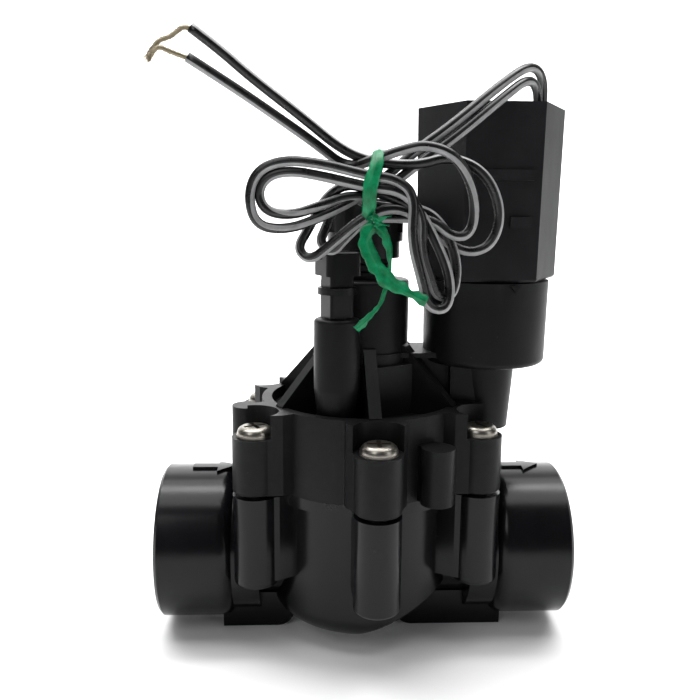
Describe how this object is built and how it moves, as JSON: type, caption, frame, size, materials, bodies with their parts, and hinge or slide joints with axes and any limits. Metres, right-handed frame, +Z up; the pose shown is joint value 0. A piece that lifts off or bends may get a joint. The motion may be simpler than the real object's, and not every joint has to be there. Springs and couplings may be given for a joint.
{
  "type": "solenoid valve",
  "caption": "Globe-body irrigation solenoid valve with slip sockets, screwed bonnet, flow-control knob, bleed screw, hexagonal solenoid and two tied leads.",
  "frame": {"origin": "on the base plane under the seat and flow-control axis", "axes": "+X downstream along the pipe, +Z up along the flow-control stem, -Y the side the leads are tied on"},
  "size_m": [0.111, 0.0794, 0.1553],
  "materials": {
    "body_plastic": "glossy black moulded plastic",
    "bonnet_plastic": "satin black glass-filled plastic",
    "knob_plastic": "satin black plastic",
    "solenoid_plastic": "satin black encapsulation",
    "potting": "smooth black resin",
    "inner_plastic": "natural acetal",
    "filter_plastic": "moulded filter",
    "bobbin_plastic": "natural nylon",
    "rubber": "black rubber",
    "stainless": "bright stainless steel",
    "spring_steel": "stainless spring wire",
    "plated_steel": "zinc-plated steel",
    "copper": "enamelled copper wire",
    "tinned_copper": "tinned stranded copper",
    "lead_black": "black insulation with a light grey stripe",
    "tie_green": "green plastic twist tie"
  },
  "bodies": {
    "valve": {"valve_body": "body_plastic", "bonnet": "bonnet_plastic", "bonnet_screws": "stainless"},
    "diaphragm_plate": {"diaphragm": "rubber", "diaphragm_washer": "inner_plastic", "diaphragm_retainer": "inner_plastic", "diaphragm_spring": "spring_steel", "pilot_filter": "filter_plastic"},
    "stem_carrier": {"stem_oring": "rubber"},
    "flow_control": {"flow_stem": "bonnet_plastic", "flow_handle": "knob_plastic", "handle_screw": "stainless"},
    "bleed_carrier": {"bleed_oring": "rubber"},
    "bleed": {"bleed_screw": "knob_plastic"},
    "solenoid": {"solenoid_housing": "solenoid_plastic", "potting_plug": "potting", "coil_yoke": "plated_steel", "coil_bobbin": "bobbin_plastic", "coil_winding": "copper", "core_tube": "stainless", "pole_piece": "plated_steel", "solenoid_adapter": "solenoid_plastic", "solenoid_oring": "rubber", "lead_a_exit": "lead_black", "lead_b_exit": "lead_black", "lead_a_end": "lead_black", "lead_b_end": "lead_black", "lead_hank": "lead_black", "bare_strands": "tinned_copper", "twist_tie": "tie_green"},
    "plunger": {"plunger": "stainless", "plunger_seal": "rubber", "plunger_spring": "spring_steel"}
  },
  "joints": [
    {"name": "diaphragm_lift", "type": "slide", "parent": "valve", "child": "diaphragm_plate", "axis": [0, 0, 1], "range_m": [0, 0.005], "stiffness_N_per_m": 60, "springref_m": -0.02, "deforming": ["diaphragm", "diaphragm_spring"]},
    {"name": "stem_lower", "type": "slide", "parent": "valve", "child": "stem_carrier", "axis": [0, 0, 1], "range_m": [-0.00525, 0]},
    {"name": "handle_turn", "type": "hinge", "parent": "stem_carrier", "child": "flow_control", "pos_m": [0, 0, 0.1], "axis": [0, 0, 1], "range_deg": [-1080, 0]},
    {"name": "bleed_rise", "type": "slide", "parent": "valve", "child": "bleed_carrier", "axis": [0, 0, 1], "range_m": [0, 0.00225]},
    {"name": "bleed_turn", "type": "hinge", "parent": "bleed_carrier", "child": "bleed", "pos_m": [-0.0079, -0.018, 0.09], "axis": [0, 0, 1], "range_deg": [0, 540]},
    {"name": "solenoid_turn", "type": "hinge", "parent": "valve", "child": "solenoid", "pos_m": [0.033, 0, 0.098], "axis": [0, 0, 1], "range_deg": [0, 90]},
    {"name": "plunger_lift", "type": "slide", "parent": "solenoid", "child": "plunger", "axis": [0, 0, 1], "range_m": [0, 0.002], "stiffness_N_per_m": 150, "springref_m": -0.004, "deforming": ["plunger_spring"]}
  ],
  "couplings": [
    {"joint": "handle_turn", "follows": "stem_lower", "rad_per_m": 3590.4},
    {"joint": "bleed_turn", "follows": "bleed_rise", "rad_per_m": 4188.8}
  ]
}
